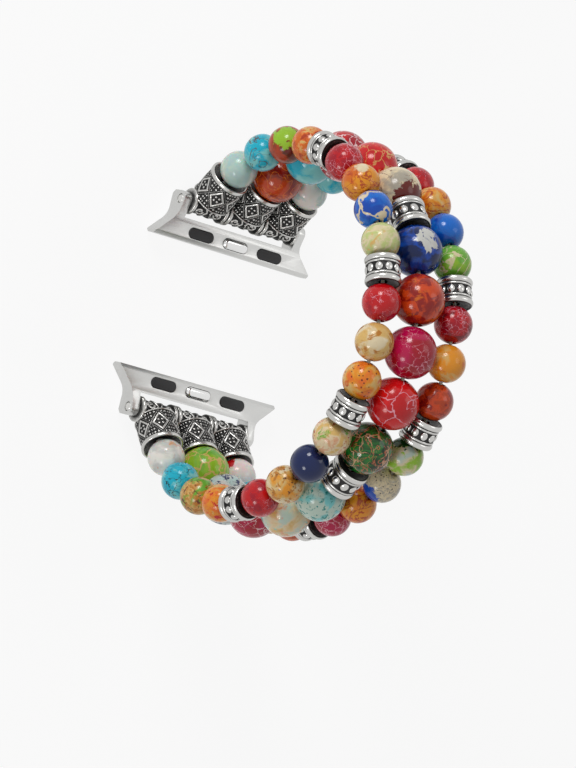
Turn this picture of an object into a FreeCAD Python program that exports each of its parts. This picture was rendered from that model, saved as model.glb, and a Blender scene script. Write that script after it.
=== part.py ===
import FreeCAD
import Part
import Sketcher
import math
import os

# A stretch watch band: three strands of drilled stone beads on elastic cord. The middle strand
# has the larger beads. Cast spools break the strands up, and at each end three cast bails
# turn on a steel cross bar held by a forked adaptor that slides into a watch case.
# X runs across the band, +Y towards its top end and +Z up, away from the watch and into the
# wrist. The band is shown as worn: an oval arch that stands on its two adaptors at Z = 0.

VECTOR = FreeCAD.Vector
ACROSS = VECTOR(1, 0, 0)
ALONG = VECTOR(0, 1, 0)
UP = VECTOR(0, 0, 1)

DRIVING_SIZES = [
    ("large_bead", 8.0, "diameter of a middle strand bead"),
    ("small_bead", 5.9, "diameter of a side strand bead"),
    ("bead_hole", 1.4, "diameter drilled through a bead"),
    ("bead_gap", 0.12, "slack between neighbours on one cord"),
    ("strand_gap", 0.18, "clearance between a large and a small bead side by side"),
    ("side_spool_width", 5.6, "diameter of a side strand spool"),
    ("side_spool_length", 4.3, "length of a side strand spool"),
    ("side_spool_nest", 0.3, "depth a small bead sinks into a spool's dish"),
    ("middle_spool_width", 6.2, "diameter of a middle strand spool"),
    ("middle_spool_length", 4.7, "length of a middle strand spool"),
    ("middle_spool_nest", 0.45, "depth a large bead sinks into a spool's dish"),
    ("spool_lip", 0.4, "wall of a spool at its rim"),
    ("spool_rim", 0.95, "width of each rolled rim"),
    ("spool_neck", 0.32, "depth of the neck below the rims"),
    ("dish_room", 0.2, "clearance under a bead in a dish"),
    ("cord_width", 0.6, "diameter of the elastic cord"),
    ("knot_width", 1.9, "diameter of the knot"),
    ("knot_pocket_width", 2.3, "bore that hides the knot"),
    ("knot_pocket_depth", 2.2, "depth of that bore"),
    ("bail_reach", 6.9, "cross bar axis to the bail's mouth"),
    ("bail_width", 6.4, "diameter of the bail's barrel"),
    ("bail_root", 1.35, "cross bar axis to the foot of the barrel"),
    ("bail_ring", 0.15, "height of the rings at foot and mouth"),
    ("bail_foot_ring", 0.5, "width of the ring at the foot"),
    ("bail_mouth_ring", 0.8, "width of the plain rim at the mouth"),
    ("bail_lip", 0.35, "wall of the barrel at its mouth"),
    ("bail_seat", 0.85, "depth of the dish that takes the first bead"),
    ("bail_seat_width", 2.8, "diameter of the flat at the bottom of that dish"),
    ("tube_width", 3.5, "diameter of the bail's cross tube"),
    ("tube_flange", 4.2, "diameter of the ring at each end of the tube"),
    ("tube_flange_width", 0.6, "width of that ring"),
    ("tube_gap", 0.3, "clearance between two cross tubes"),
    ("bar_width", 1.5, "diameter of the cross bar"),
    ("bar_play", 0.08, "radial clearance of the tubes on the bar"),
    ("bar_fit", 0.02, "radial clearance of the bar in the arms"),
    ("bar_height", 2.3, "cross bar axis above the adaptor's flat side"),
    ("bar_chamfer", 0.2, "chamfer at the ends of the bar"),
    ("fork_play", 0.15, "clearance between an outer tube and its arm"),
    ("fork_depth", 2.74, "cross bar axis to the bottom of the fork"),
    ("arm_width", 1.4, "thickness of each arm"),
    ("eye_radius", 1.3, "radius of an arm's rounded end"),
    ("tongue_width", 31.0, "length of the tongue across the band"),
    ("tongue_depth", 3.6, "edge of the tongue to the bottom of the fork"),
    ("tongue_height", 2.8, "thickness of the tongue"),
    ("tongue_bevel", 0.6, "bevel along the tongue's edge"),
    ("arm_bevel", 0.6, "bevel at the foot of each arm, on its outer end"),
    ("tip_land", 0.4, "straight end of the swallow tail tip"),
    ("tip_slope", 2.1, "length of the straight slope of the tip"),
    ("tip_sweep", 4.6, "edge of the tongue to where the tip meets the arm"),
    ("tip_blend", 3.2, "radius that blends tip and arm"),
    ("pad_width", 1.7, "width of a rubber pad and of the latch"),
    ("pad_length", 4.9, "length of a rubber pad and of the latch"),
    ("pad_pitch", 6.9, "distance between pad and latch centres"),
    ("pad_inset", 1.6, "edge of the tongue to the pad centres"),
    ("pad_sunk", 0.8, "depth of a pad's recess"),
    ("pad_proud", 0.12, "height a pad stands above the tongue"),
    ("pad_play", 0.06, "clearance round a pad and round the latch"),
    ("latch_travel", 0.5, "stroke of the spring latch"),
    ("latch_lip", 0.6, "thickness of the lip that traps the latch"),
    ("latch_foot", 0.45, "thickness of the latch's foot"),
    ("latch_ear", 0.45, "overhang of that foot beyond the latch at each end"),
    ("latch_round", 0.6, "rounding of the latch's crown"),
    ("latch_floor", 0.45, "metal left under the latch"),
    ("leaf_thickness", 0.14, "thickness of the leaf spring"),
    ("leaf_width", 1.1, "width of the leaf spring"),
    ("leaf_span", 4.2, "length of the leaf spring"),
    ("end_radius", 22.5, "worn shape: radius of the band next to the bails"),
    ("end_arc", 13.0, "worn shape: length of each of those two arcs"),
    ("side_radius", 29.2, "worn shape: radius along the sides of the wrist"),
    ("back_radius", 27.5, "worn shape: radius across the back of the wrist"),
    ("back_arc", 26.0, "worn shape: length of that arc"),
]

# What is strung on each cord, from the top end to the bottom end.
MIDDLE_STRING = ["bead"] * 5 + ["spool"] + ["bead"] * 5 + ["spool"] + ["bead"] * 5
SIDE_STRING = (["bead"] * 4 + ["spool"] + ["bead"] * 4 + ["spool"] + ["bead"] * 3
               + ["spool"] + ["bead"] * 4 + ["spool"] + ["bead"] * 4)
# How many pieces of a side strand lie beside each piece of the middle strand.
SIDE_PIECES_BESIDE = [1, 2, 1, 2, 1, 1, 1, 2, 1, 2, 1, 1, 1, 2, 1, 2, 1]

doc = FreeCAD.newDocument("bead_band")
sheet = doc.addObject("Spreadsheet::Sheet", "sizes")
for line, (alias, number, meaning) in enumerate(DRIVING_SIZES, start=1):
    sheet.set(f"A{line}", meaning)
    sheet.set(f"B{line}", str(number))
    sheet.setAlias(f"B{line}", alias)
doc.recompute()


class Size:
    """A number that also carries the sheet formula it comes from."""

    def __init__(self, value, formula):
        self.value = value
        self.formula = formula

    def joined(self, other, sign, value):
        return Size(value, f"({self.formula} {sign} {formula_of(other)})")

    def __add__(self, other):
        return self.joined(other, "+", self.value + value_of(other))

    def __sub__(self, other):
        return self.joined(other, "-", self.value - value_of(other))

    def __mul__(self, other):
        return self.joined(other, "*", self.value * value_of(other))

    def __truediv__(self, other):
        return self.joined(other, "/", self.value / value_of(other))

    def __neg__(self):
        return Size(-self.value, f"(-1 * {self.formula})")


def value_of(item):
    return item.value if isinstance(item, Size) else float(item)


def formula_of(item):
    return item.formula if isinstance(item, Size) else repr(float(item))


def cell(alias):
    return Size(float(sheet.get(alias)), f"sizes.{alias}")


large_bead = cell("large_bead")
small_bead = cell("small_bead")
bead_hole = cell("bead_hole")
bead_gap = cell("bead_gap")
cord_width = cell("cord_width")
bail_reach = cell("bail_reach")
bail_seat = cell("bail_seat")
knot_pocket_depth = cell("knot_pocket_depth")
bar_width = cell("bar_width")
bar_height = cell("bar_height")
fork_depth = cell("fork_depth")
arm_width = cell("arm_width")
eye_radius = cell("eye_radius")
tongue_width = cell("tongue_width")
tongue_height = cell("tongue_height")
pad_width = cell("pad_width")
pad_length = cell("pad_length")
pad_play = cell("pad_play")
latch_lip = cell("latch_lip")
latch_foot = cell("latch_foot")
latch_floor = cell("latch_floor")

strand_pitch = (large_bead + small_bead) / 2 + cell("strand_gap")
bail_to_strand = bail_reach - bail_seat
fork_half_width = strand_pitch * 1.5 + cell("fork_play")
arm_half_width = fork_half_width + arm_width
tongue_edge = fork_depth + cell("tongue_depth")


# Worn shape

def string_places(string, bead, spool_length, nest):
    """Length of each piece along its cord and the length of them all."""
    lengths = {"bead": bead.value, "spool": spool_length.value - 2 * nest.value}
    pitches = [lengths[kind] + bead_gap.value for kind in string]
    return pitches, sum(pitches)


side_pitches, side_total = string_places(
    SIDE_STRING, small_bead, cell("side_spool_length"), cell("side_spool_nest"))
middle_pitches, middle_total = string_places(
    MIDDLE_STRING, large_bead, cell("middle_spool_length"), cell("middle_spool_nest"))
strand_length = max(side_total, middle_total)


def ends_and_centres(pitches, total):
    """Ends and centres of the pieces, with the spare length of the cord shared out evenly."""
    spare = (strand_length - total) / len(pitches)
    ends = [0.0]
    for pitch in pitches:
        ends.append(ends[-1] + pitch + spare)
    centres = [(low + high) / 2 for low, high in zip(ends, ends[1:])]
    return ends, centres


side_ends, side_centres = ends_and_centres(side_pitches, side_total)
middle_ends, middle_centres = ends_and_centres(middle_pitches, middle_total)

end_arc = cell("end_arc").value
back_arc = cell("back_arc").value
side_arc = (strand_length - 2 * end_arc - back_arc) / 2
WORN_ARCS = [
    (end_arc, cell("end_radius").value),
    (side_arc, cell("side_radius").value),
    (back_arc, cell("back_radius").value),
    (side_arc, cell("side_radius").value),
    (end_arc, cell("end_radius").value),
]
total_turn = sum(length / radius for length, radius in WORN_ARCS)
start_heading = (2 * math.pi - total_turn) / 2


def walk(distance):
    """Place and heading on the line of the arcs, from its own start at the origin."""
    place = VECTOR(0, 0, 0)
    heading = start_heading
    left = distance
    if left < 0:
        return VECTOR(0, math.cos(heading), math.sin(heading)) * left, heading
    for length, radius in WORN_ARCS:
        run = min(left, length)
        turned = heading + run / radius
        place = place + VECTOR(0, math.sin(turned) - math.sin(heading),
                               math.cos(heading) - math.cos(turned)) * radius
        heading = turned
        left = left - run
        if left <= 0:
            return place, heading
    return place + VECTOR(0, math.cos(heading), math.sin(heading)) * left, heading


# Both cross bars lie at the same height, as far to one side of the middle as to the other.
top_bar, _ = walk(-bail_to_strand.value)
bottom_bar, _ = walk(strand_length + bail_to_strand.value)
half_opening = (top_bar.y - bottom_bar.y) / 2
strand_start = VECTOR(0, half_opening - top_bar.y, bar_height.value - top_bar.z)


def worn(distance):
    """Place and heading of the cords as worn, at a distance from the top bails' seats."""
    place, heading = walk(distance)
    return place + strand_start, heading


def placed_on_cord(strand, distance):
    """Placement that lays a piece's own Z axis along the cord. Strand is -1, 0 or 1."""
    place, heading = worn(distance)
    turn = FreeCAD.Rotation(ACROSS, math.degrees(heading) - 90)
    return FreeCAD.Placement(place + ACROSS * (strand * strand_pitch.value), turn)


# Sketch helpers

def origin_plane(body, role):
    for feature in body.Origin.OriginFeatures:
        if feature.Role == role:
            return feature
    raise ValueError(role)


def pin_point(sketch, edge, end, x, y):
    """Fix one end of an edge at a place given by formulas."""
    for kind, place, axis in (("DistanceX", x, -2), ("DistanceY", y, -1)):
        if value_of(place) == 0:
            sketch.addConstraint(Sketcher.Constraint("PointOnObject", edge, end, axis))
            continue
        index = sketch.addConstraint(
            Sketcher.Constraint(kind, -1, 1, edge, end, value_of(place)))
        sketch.setExpression(f"Constraints[{index}]", formula_of(place))


def arc_between(start, end, radius, side):
    """Arc from start to end. Side 1 turns left and side -1 right, and each is under a half."""
    middle = (start + end) * 0.5
    chord = end - start
    rise = math.sqrt(max(radius ** 2 - (chord.Length / 2) ** 2, 0.0))
    normal = VECTOR(-chord.y, chord.x, 0)
    normal.normalize()
    centre = middle + normal * (rise * side)
    first, last = (start, end) if side > 0 else (end, start)
    angles = [math.atan2(p.y - centre.y, p.x - centre.x) for p in (first, last)]
    return Part.ArcOfCircle(Part.Circle(centre, UP, radius), angles[0], angles[1])


def closed_outline(sketch, corners, bends=None):
    """Closed loop through the corners. Bends maps an edge's number to (radius, side)."""
    bends = bends or {}
    points = [VECTOR(value_of(x), value_of(y), 0) for x, y in corners]
    ends = []
    for number, start in enumerate(points):
        end = points[(number + 1) % len(points)]
        if number in bends:
            radius, side = bends[number]
            edge = sketch.addGeometry(arc_between(start, end, radius.value, side))
            ends.append((edge, (1, 2) if side > 0 else (2, 1)))
        else:
            edge = sketch.addGeometry(Part.LineSegment(start, end))
            ends.append((edge, (1, 2)))
    for number, (edge, (_, last)) in enumerate(ends):
        following, (first, _) = ends[(number + 1) % len(ends)]
        sketch.addConstraint(Sketcher.Constraint("Coincident", edge, last, following, first))
    for (edge, (first, _)), (x, y) in zip(ends, corners):
        pin_point(sketch, edge, first, x, y)
    for number, (radius, _) in bends.items():
        edge = ends[number][0]
        chord = points[(number + 1) % len(points)] - points[number]
        if math.isclose(chord.Length, 2 * radius.value):
            # A half circle on an upright chord: its ends already give its size.
            sketch.addConstraint(Sketcher.Constraint("Vertical", edge, 1, edge, 3))
            continue
        index = sketch.addConstraint(Sketcher.Constraint("Radius", edge, radius.value))
        sketch.setExpression(f"Constraints[{index}]", radius.formula)


def new_body(label):
    body = doc.addObject("PartDesign::Body", label)
    body.Label = label
    return body


def new_sketch(body, name, role, height=None):
    """Sketch on one of the body's own planes, raised along its normal by a height."""
    sketch = body.newObject("Sketcher::SketchObject", f"{body.Name}_{name}")
    sketch.AttachmentSupport = [(origin_plane(body, role), "")]
    sketch.MapMode = "FlatFace"
    if height is not None:
        sketch.setExpression("AttachmentOffset.Base.z", formula_of(height))
    return sketch


def revolve(body, sketch, axis):
    feature = body.newObject("PartDesign::Revolution", f"{sketch.Name}_turned")
    feature.Profile = sketch
    feature.ReferenceAxis = (sketch, [axis])
    feature.Angle = 360
    return feature


def pad(body, sketch, length, symmetric=False):
    feature = body.newObject("PartDesign::Pad", f"{sketch.Name}_pad")
    feature.Profile = sketch
    feature.setExpression("Length", formula_of(length))
    if symmetric:
        feature.SideType = "Symmetric"
    return feature


def pocket(body, sketch, depth=None, symmetric=False):
    """Cut away from the sketch's normal, to a depth or right through."""
    feature = body.newObject("PartDesign::Pocket", f"{sketch.Name}_pocket")
    feature.Profile = sketch
    if depth is None:
        feature.Type = "ThroughAll"
    else:
        feature.setExpression("Length", formula_of(depth))
    if symmetric:
        feature.SideType = "Symmetric"
    return feature


def dress_edges(body, kind, base, name, radius, wanted):
    """Fillet or chamfer the edges of a feature for which wanted(edge) is true."""
    doc.recompute()
    edges = [f"Edge{number}" for number, edge in enumerate(base.Shape.Edges, start=1)
             if wanted(edge)]
    feature = body.newObject(f"PartDesign::{kind}", f"{body.Name}_{name}")
    feature.Base = (base, edges)
    prop = "Radius" if kind == "Fillet" else "Size"
    feature.setExpression(prop, formula_of(radius))
    return feature


parts = []


def keep(piece, label, placement=None):
    piece.Label = label
    if placement is not None:
        piece.Placement = placement
    parts.append(piece)


# Drilled stone beads

def drilled_bead(name, width):
    """A ball with a hole along Z."""
    ball = doc.addObject("Part::Sphere", f"{name}_ball")
    ball.setExpression("Radius", formula_of(width / 2))
    drill = doc.addObject("Part::Cylinder", f"{name}_drill")
    drill.setExpression("Radius", formula_of(bead_hole / 2))
    drill.setExpression("Height", formula_of(width))
    drill.setExpression("Placement.Base.z", formula_of(-width / 2))
    bead = doc.addObject("Part::Cut", name)
    bead.Base = ball
    bead.Tool = drill
    return bead


# Cast spools between the beads

def spool(name, width, length, nest):
    """A waisted ring with rolled rims and a dish at each end that a bead sits in."""
    lip = cell("spool_lip")
    rim = cell("spool_rim")
    neck = cell("spool_neck")
    rim_radius = width / 2
    neck_radius = rim_radius - neck
    half = length / 2
    bore_radius = bead_hole / 2
    floor = half - nest - cell("dish_room")
    body = new_body(name)
    sketch = new_sketch(body, "section", "XZ_Plane")
    # An arc on a chord as wide as the rim, which rises from the neck to the full width.
    roll = (rim * rim / 4 + neck * neck) / (neck * 2)
    corners = [
        (bore_radius, -floor),
        (rim_radius - lip, -half),
        (neck_radius, -half),
        (neck_radius, -(half - rim)),
        (neck_radius, half - rim),
        (neck_radius, half),
        (rim_radius - lip, half),
        (bore_radius, floor),
    ]
    closed_outline(sketch, corners, {2: (roll, 1), 4: (roll, 1)})
    revolve(body, sketch, "V_Axis")
    return body


SPOOLS = {
    strand: [cell(f"{strand}_spool_{size}") for size in ("width", "length", "nest")]
    for strand in ("side", "middle")
}


# Middle strand: each piece is a sub-part of its own

bead_number = 0
spool_number = 0
for kind, centre in zip(MIDDLE_STRING, middle_centres):
    if kind == "bead":
        bead_number += 1
        label = f"middle_bead_{bead_number:02d}"
        keep(drilled_bead(label, large_bead), label, placed_on_cord(0, centre))
    else:
        spool_number += 1
        label = f"middle_spool_{spool_number}"
        keep(spool(label, *SPOOLS["middle"]), label, placed_on_cord(0, centre))

# Side strands: the pieces beside one middle piece are a sub-part, near strand and far strand


def paired(label, pieces):
    """One sub-part of separate solids, kept where they are."""
    group = doc.addObject("Part::Compound", label)
    group.Links = pieces
    keep(group, label)


piece_number = 0
side_spool_number = 0
for row, count in enumerate(SIDE_PIECES_BESIDE, start=1):
    beads = []
    for _ in range(count):
        kind = SIDE_STRING[piece_number]
        centre = side_centres[piece_number]
        piece_number += 1
        pieces = []
        for side, strand in (("near", -1), ("far", 1)):
            name = f"{side}_{kind}_{piece_number:02d}"
            if kind == "bead":
                piece = drilled_bead(name, small_bead)
            else:
                piece = spool(name, *SPOOLS["side"])
            piece.Placement = placed_on_cord(strand, centre)
            pieces.append(piece)
        if kind == "bead":
            beads.extend(pieces)
        else:
            side_spool_number += 1
            paired(f"side_spools_{side_spool_number}", pieces)
    paired(f"side_beads_row_{row:02d}", beads)

# Bails: a barrel whose mouth takes the first bead, cast with a tube that turns on the cross bar


def bail(name):
    barrel_radius = cell("bail_width") / 2
    ring_radius = barrel_radius + cell("bail_ring")
    root = cell("bail_root")
    foot_ring = cell("bail_foot_ring")
    mouth_ring = cell("bail_mouth_ring")
    mouth_radius = ring_radius - cell("bail_lip")
    pocket_radius = cell("knot_pocket_width") / 2
    seat = bail_reach - bail_seat
    body = new_body(name)
    barrel = new_sketch(body, "barrel", "XZ_Plane")
    closed_outline(barrel, [
        (0, root),
        (ring_radius, root),
        (ring_radius, root + foot_ring),
        (barrel_radius, root + foot_ring),
        (barrel_radius, bail_reach - mouth_ring),
        (ring_radius, bail_reach - mouth_ring),
        (ring_radius, bail_reach),
        (mouth_radius, bail_reach),
        (cell("bail_seat_width") / 2, seat),
        (pocket_radius, seat),
        (pocket_radius, seat - knot_pocket_depth),
        (0, seat - knot_pocket_depth),
    ])
    revolve(body, barrel, "V_Axis")
    end = (strand_pitch - cell("tube_gap")) / 2
    flange = cell("tube_flange_width")
    bore_radius = bar_width / 2 + cell("bar_play")
    tube_radius = cell("tube_width") / 2
    flange_radius = cell("tube_flange") / 2
    tube = new_sketch(body, "tube", "XZ_Plane")
    closed_outline(tube, [
        (-end, bore_radius),
        (end, bore_radius),
        (end, flange_radius),
        (end - flange, flange_radius),
        (end - flange, tube_radius),
        (-(end - flange), tube_radius),
        (-(end - flange), flange_radius),
        (-end, flange_radius),
    ])
    revolve(body, tube, "H_Axis")
    return body


top_bar_place, top_heading = worn(-bail_to_strand.value)
bottom_bar_place, bottom_heading = worn(strand_length + bail_to_strand.value)
BAIL_ENDS = {
    "top": (top_bar_place, math.degrees(top_heading) - 90),
    "bottom": (bottom_bar_place, math.degrees(bottom_heading) + 90),
}
for end_name, (bar_place, turn) in BAIL_ENDS.items():
    for side, strand in (("near", -1), ("middle", 0), ("far", 1)):
        label = f"bail_{end_name}_{side}"
        place = bar_place + ACROSS * (strand * strand_pitch.value)
        keep(bail(label), label, FreeCAD.Placement(place, FreeCAD.Rotation(ACROSS, turn)))

# Adaptors, modelled with the cross bar axis over their own origin and the tongue towards -Y


def pill(sketch, centre_x, centre_y, length, width):
    """Slot outline with round ends, its length along the sketch's x."""
    half = (length - width) / 2
    radius = width / 2
    closed_outline(sketch, [
        (centre_x - half, centre_y - radius),
        (centre_x + half, centre_y - radius),
        (centre_x + half, centre_y + radius),
        (centre_x - half, centre_y + radius),
    ], {1: (radius, 1), 3: (radius, 1)})


pad_line = -(tongue_edge - cell("pad_inset"))
pad_pitch = cell("pad_pitch")
latch_slot_length = pad_length + pad_play * 2
latch_slot_width = pad_width + pad_play * 2
ear_slot_length = latch_slot_length + cell("latch_ear") * 2


def adaptor(name):
    bevel = cell("tongue_bevel")
    arm_bevel = cell("arm_bevel")
    eye_top = bar_height + eye_radius
    body = new_body(name)
    side = new_sketch(body, "side", "YZ_Plane")
    closed_outline(side, [
        (-tongue_edge, bevel),
        (-(tongue_edge - bevel), 0),
        (eye_radius - arm_bevel, 0),
        (eye_radius, arm_bevel),
        (eye_radius, bar_height),
        (0, eye_top),
        (-fork_depth, tongue_height),
        (-(tongue_edge - bevel), tongue_height),
        (-tongue_edge, tongue_height - bevel),
    ], {4: (eye_radius, 1)})
    pad(body, side, tongue_width, symmetric=True)

    above = eye_top + arm_width
    fork = new_sketch(body, "fork", "XY_Plane", above)
    closed_outline(fork, [
        (-fork_half_width, -fork_depth),
        (fork_half_width, -fork_depth),
        (fork_half_width, eye_radius + arm_width),
        (-fork_half_width, eye_radius + arm_width),
    ])
    pocket(body, fork)

    tip = tongue_width / 2
    slope = cell("tip_slope")
    land_line = -(tongue_edge - cell("tip_land"))
    slope_line = land_line + slope
    sweep_line = -(tongue_edge - cell("tip_sweep"))
    outside = tip + arm_width
    for hand, sign in (("left", -1), ("right", 1)):
        tail = new_sketch(body, f"{hand}_tail", "XY_Plane", above)
        corners = [
            (tip * sign, land_line),
            (outside * sign, land_line),
            (outside * sign, eye_radius + arm_width),
            (arm_half_width * sign, eye_radius + arm_width),
            (arm_half_width * sign, sweep_line),
            ((tip - slope) * sign, slope_line),
        ]
        closed_outline(tail, corners, {4: (cell("tip_blend"), sign)})
        pocket(body, tail)

    eye = new_sketch(body, "eye", "YZ_Plane")
    hole = eye.addGeometry(Part.Circle(VECTOR(0, bar_height.value, 0), UP, bar_width.value / 2))
    pin_point(eye, hole, 3, 0, bar_height)
    bore = bar_width / 2 + cell("bar_fit")
    index = eye.addConstraint(Sketcher.Constraint("Radius", hole, bore.value))
    eye.setExpression(f"Constraints[{index}]", bore.formula)
    pocket(body, eye, symmetric=True)

    recess = new_sketch(body, "pad_recess", "XY_Plane", tongue_height)
    for sign in (-1, 1):
        pill(recess, pad_pitch * sign, pad_line, latch_slot_length, latch_slot_width)
    pocket(body, recess, cell("pad_sunk"))

    mouth = new_sketch(body, "latch_mouth", "XY_Plane", tongue_height)
    pill(mouth, Size(0, "0"), pad_line, latch_slot_length, latch_slot_width)
    pocket(body, mouth, tongue_height - latch_floor)

    ears = new_sketch(body, "latch_room", "XY_Plane", tongue_height - latch_lip)
    pill(ears, Size(0, "0"), pad_line, ear_slot_length, latch_slot_width)
    pocket(body, ears, tongue_height - latch_lip - latch_floor)
    return body


def cross_bar(name):
    """Plain pin along X with its ends flush with the arms."""
    half = arm_half_width
    radius = bar_width / 2
    chamfer = cell("bar_chamfer")
    body = new_body(name)
    section = new_sketch(body, "section", "XZ_Plane")
    closed_outline(section, [
        (-half, 0),
        (half, 0),
        (half, radius - chamfer),
        (half - chamfer, radius),
        (-(half - chamfer), radius),
        (-half, radius - chamfer),
    ])
    revolve(body, section, "H_Axis")
    return body


def rubber_pad(name, sign):
    """One friction pad, standing just above the tongue."""
    body = new_body(name)
    foot = new_sketch(body, "foot", "XY_Plane", tongue_height - cell("pad_sunk"))
    pill(foot, pad_pitch * sign, pad_line, pad_length, pad_width)
    pad(body, foot, cell("pad_sunk") + cell("pad_proud"))
    return body


latch_foot_top = tongue_height - latch_lip - pad_play
latch_foot_base = latch_foot_top - latch_foot


def latch(name):
    """Spring catch: a crowned pill on a longer foot that the lip of its slot traps."""
    body = new_body(name)
    foot = new_sketch(body, "foot", "XY_Plane", latch_foot_base)
    pill(foot, Size(0, "0"), pad_line, pad_length + cell("latch_ear") * 2, pad_width)
    pad(body, foot, latch_foot)
    crown = new_sketch(body, "crown", "XY_Plane", latch_foot_base)
    pill(crown, Size(0, "0"), pad_line, pad_length, pad_width)
    crown_top = tongue_height + cell("latch_travel")
    raised = pad(body, crown, crown_top - latch_foot_base)
    dress_edges(body, "Fillet", raised, "round", cell("latch_round"),
                lambda edge: abs(edge.BoundBox.ZMin - crown_top.value) < 1e-6)
    return body


def leaf_spring(name):
    """Bowed strip under the latch."""
    thickness = cell("leaf_thickness")
    half = cell("leaf_span") / 2
    rise = latch_foot_base - latch_floor - thickness - pad_play
    # A bow of this half length and rise has radius (half squared + rise squared) / (2 rise).
    radius = (half * half + rise * rise) / (rise * 2)
    foot_low = latch_floor + pad_play / 2
    body = new_body(name)
    bow = new_sketch(body, "bow", "XZ_Plane")
    closed_outline(bow, [
        (-half, foot_low),
        (half, foot_low),
        (half, foot_low + thickness),
        (-half, foot_low + thickness),
    ], {0: (radius, -1), 2: (radius, 1)})
    pad(body, bow, cell("leaf_width"), symmetric=True)
    return body


# Where each adaptor goes: the bottom one is turned half round
ADAPTOR_ENDS = {
    "top": FreeCAD.Placement(VECTOR(0, half_opening, 0), FreeCAD.Rotation(UP, 0)),
    "bottom": FreeCAD.Placement(VECTOR(0, -half_opening, 0), FreeCAD.Rotation(UP, 180)),
}
for end_name, place in ADAPTOR_ENDS.items():
    bar_axis = FreeCAD.Placement(UP * bar_height.value, FreeCAD.Rotation())
    pad_row = FreeCAD.Placement(ALONG * pad_line.value, FreeCAD.Rotation())
    keep(adaptor(f"adaptor_{end_name}"), f"adaptor_{end_name}", place)
    keep(cross_bar(f"cross_bar_{end_name}"), f"cross_bar_{end_name}", place * bar_axis)
    pads = [rubber_pad(f"pad_{end_name}_{hand}", sign)
            for hand, sign in (("left", -1), ("right", 1))]
    for piece in pads:
        piece.Placement = place
    paired(f"rubber_pads_{end_name}", pads)
    keep(latch(f"latch_{end_name}"), f"latch_{end_name}", place)
    leaf = leaf_spring(f"latch_spring_{end_name}")
    keep(leaf, f"latch_spring_{end_name}", place * pad_row)

# Elastic cords, each from a knot in a top bail to a knot in the bottom bail


def cord_shape(strand):
    """Round tube along the worn line, fused with its two knots."""
    aside = ACROSS * (strand * strand_pitch.value)
    knot_depth = knot_pocket_depth.value / 2
    start, start_angle = worn(-knot_depth)
    edges = []
    distance = 0.0
    previous = start + aside
    for length, _ in WORN_ARCS:
        first, _ = worn(distance)
        middle, _ = worn(distance + length / 2)
        last, _ = worn(distance + length)
        if distance == 0:
            edges.append(Part.LineSegment(previous, first + aside).toShape())
        edges.append(Part.Arc(first + aside, middle + aside, last + aside).toShape())
        distance = distance + length
    finish, _ = worn(strand_length + knot_depth)
    edges.append(Part.LineSegment(last + aside, finish + aside).toShape())
    path = Part.Wire(edges)
    heading = VECTOR(0, math.cos(start_angle), math.sin(start_angle))
    ring = Part.Wire([Part.Circle(start + aside, heading, cord_width.value / 2).toShape()])
    tube = path.makePipeShell([ring], True, False)
    section = math.pi * cord_width.value ** 2 / 4
    print("cord length", round(path.Length, 2), "volume over section times length",
          round(tube.Volume / (section * path.Length), 4))
    knots = [Part.makeSphere(cell("knot_width").value / 2, point + aside)
             for point in (start, finish)]
    return tube.fuse(knots)


for name, strand in (("near", -1), ("middle", 0), ("far", 1)):
    cord = doc.addObject("Part::Feature", f"cord_{name}")
    cord.Shape = cord_shape(strand)
    keep(cord, f"cord_{name}", FreeCAD.Placement())

# The hinges of the worn shape, for whoever drives it: place, and turn that lays the band flat
row_headings = [worn(centre)[1] for centre in middle_centres]
cup_hinge = (large_bead.value + small_bead.value) / 4 + bead_gap.value / 2
hinge_distances = [cup_hinge] + middle_ends[1:-1] + [strand_length - cup_hinge]
headings = [start_heading] + row_headings + [start_heading + total_turn]
for number, distance in enumerate(hinge_distances):
    place, _ = worn(distance)
    turn = math.degrees(headings[number + 1] - headings[number])
    print("hinge", number, round(place.y, 5), round(place.z, 5), round(turn, 5))
print("bar", round(half_opening, 5), round(bar_height.value, 5),
      "bail heading", round(math.degrees(start_heading), 5))

doc.recompute()
for item in doc.Objects:
    if "Invalid" in item.State or "Error" in item.State:
        raise RuntimeError(f"{item.Name} failed: {item.State}")
os.makedirs("parts", exist_ok=True)
for piece in parts:
    shape = piece.Shape
    if shape.isNull() or not shape.isValid() or not shape.Solids:
        raise RuntimeError(f"{piece.Label} has no valid solid")
    shape.exportStep(f"parts/{piece.Label}.step")
print(len(parts), "sub-parts,", sum(len(piece.Shape.Solids) for piece in parts), "solids")
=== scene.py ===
import math

import bmesh
import bpy
import numpy as np
from mathutils import Matrix, Vector


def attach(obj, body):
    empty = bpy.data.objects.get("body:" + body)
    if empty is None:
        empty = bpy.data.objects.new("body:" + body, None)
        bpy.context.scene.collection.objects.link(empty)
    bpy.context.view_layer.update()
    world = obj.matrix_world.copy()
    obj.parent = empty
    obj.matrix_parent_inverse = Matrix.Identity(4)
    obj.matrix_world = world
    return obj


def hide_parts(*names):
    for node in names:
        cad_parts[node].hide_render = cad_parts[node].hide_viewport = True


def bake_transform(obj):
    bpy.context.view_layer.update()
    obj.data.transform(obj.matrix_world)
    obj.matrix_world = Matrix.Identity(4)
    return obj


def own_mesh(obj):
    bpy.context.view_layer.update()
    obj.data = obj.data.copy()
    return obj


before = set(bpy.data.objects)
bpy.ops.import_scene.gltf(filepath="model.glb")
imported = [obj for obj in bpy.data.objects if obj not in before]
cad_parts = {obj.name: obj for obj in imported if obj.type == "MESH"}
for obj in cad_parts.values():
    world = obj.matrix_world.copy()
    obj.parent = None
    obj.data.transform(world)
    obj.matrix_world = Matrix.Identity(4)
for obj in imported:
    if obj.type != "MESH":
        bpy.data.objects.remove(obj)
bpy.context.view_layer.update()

# The view. The band stands on its two adaptors, and the camera looks down at it from the
# near side, rolled so that the arch lies over to the right. The lens is long, so that the
# near and far strands keep almost the same size.

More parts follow.
